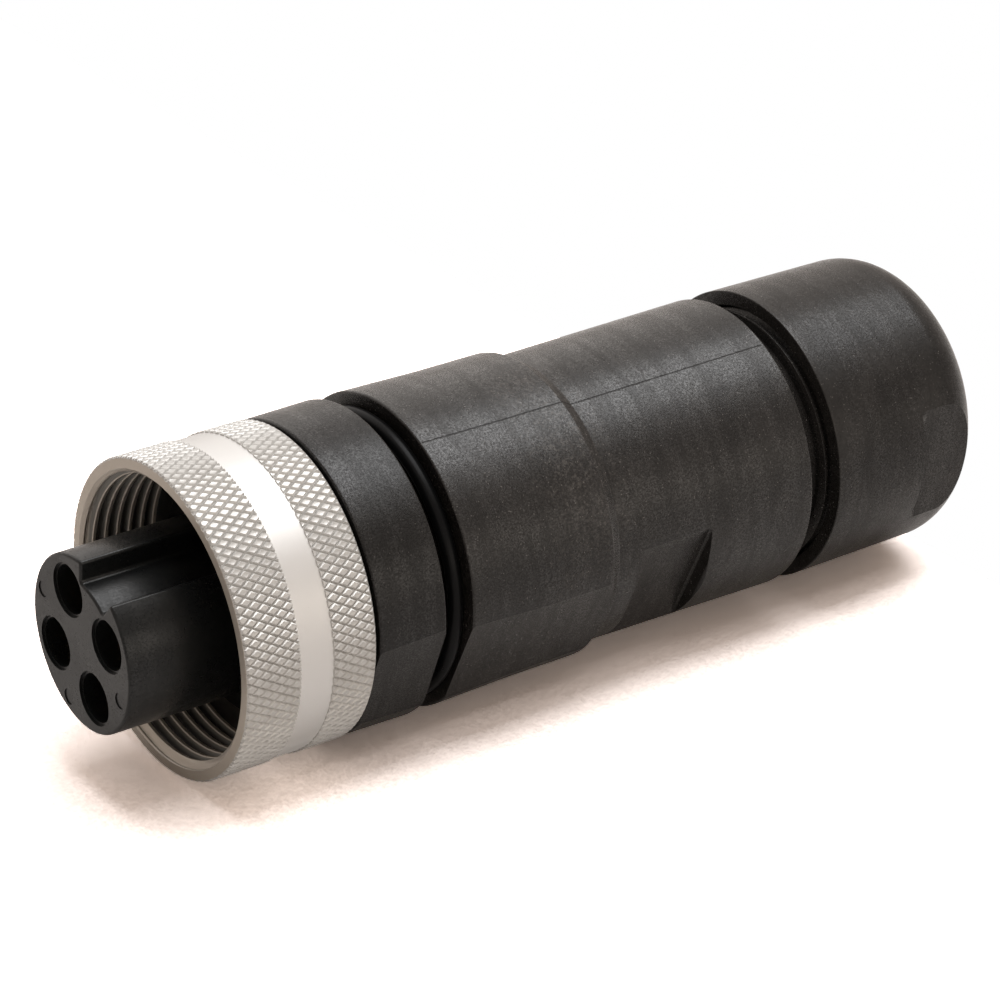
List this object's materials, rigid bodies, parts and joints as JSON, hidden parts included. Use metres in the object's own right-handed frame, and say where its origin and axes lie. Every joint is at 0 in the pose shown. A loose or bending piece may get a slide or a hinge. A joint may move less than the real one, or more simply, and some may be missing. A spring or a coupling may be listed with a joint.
{
  "type": "threaded round power connector socket",
  "caption": "Round cable-mounted power connector socket with a knurled threaded coupling nut, keyed contact nose, two-diameter shell and rear gland nut.",
  "frame": {"origin": "centre of the flat ring at the rear end of the gland nut, on which the connector stands", "axes": "+Z along the connector's axis towards the socket face; the keyway of the nose faces -Y; the flats of the front collar face +X and -X"},
  "size_m": [0.0378, 0.0378, 0.117],
  "materials": {
    "nut_metal": "satin turned metal with two diamond-knurled bands and a brushed plain band",
    "spring_steel": "bright spring steel",
    "housing_moulding": "satin black filled nylon with faint flow marks",
    "insert_moulding": "satin black moulding with fine sparkle",
    "seal_rubber": "glossy black rubber",
    "clamp_moulding": "plain dark nylon",
    "contact_brass": "turned brass",
    "screw_steel": "plated steel"
  },
  "bodies": {
    "connector": {"nut_holding_ring": "spring_steel", "contact_insert": "insert_moulding", "insert_seal": "seal_rubber", "face_seal": "seal_rubber", "front_collar": "housing_moulding", "collar_seal_ring": "seal_rubber", "rear_shell": "housing_moulding", "terminal_block": "insert_moulding", "cable_seal": "seal_rubber", "socket_contact_1": "contact_brass", "socket_contact_2": "contact_brass", "socket_contact_3": "contact_brass", "socket_contact_4": "contact_brass", "terminal_screw_1": "screw_steel", "terminal_screw_2": "screw_steel", "terminal_screw_3": "screw_steel", "terminal_screw_4": "screw_steel"},
    "coupling_nut": {"coupling_nut": "nut_metal"},
    "gland_feed": {"thrust_washer": "clamp_moulding", "clamp_ring": "clamp_moulding"},
    "gland_nut": {"gland_nut": "housing_moulding"}
  },
  "joints": [
    {"name": "coupling_nut_turn", "type": "hinge", "parent": "connector", "child": "coupling_nut", "pos_m": [0, 0, 0.0904], "axis": [0, 0, 1], "continuous": true},
    {"name": "gland_feed_slide", "type": "slide", "parent": "connector", "child": "gland_feed", "axis": [0, 0, 1], "range_m": [0, 0.00355], "deforming": ["cable_seal"]},
    {"name": "gland_nut_turn", "type": "hinge", "parent": "gland_feed", "child": "gland_nut", "pos_m": [0, 0, 0.0109], "axis": [0, 0, 1], "range_deg": [0, 852]}
  ],
  "couplings": [
    {"joint": "gland_feed_slide", "follows": "gland_nut_turn", "m_per_rad": 0.00023873}
  ]
}
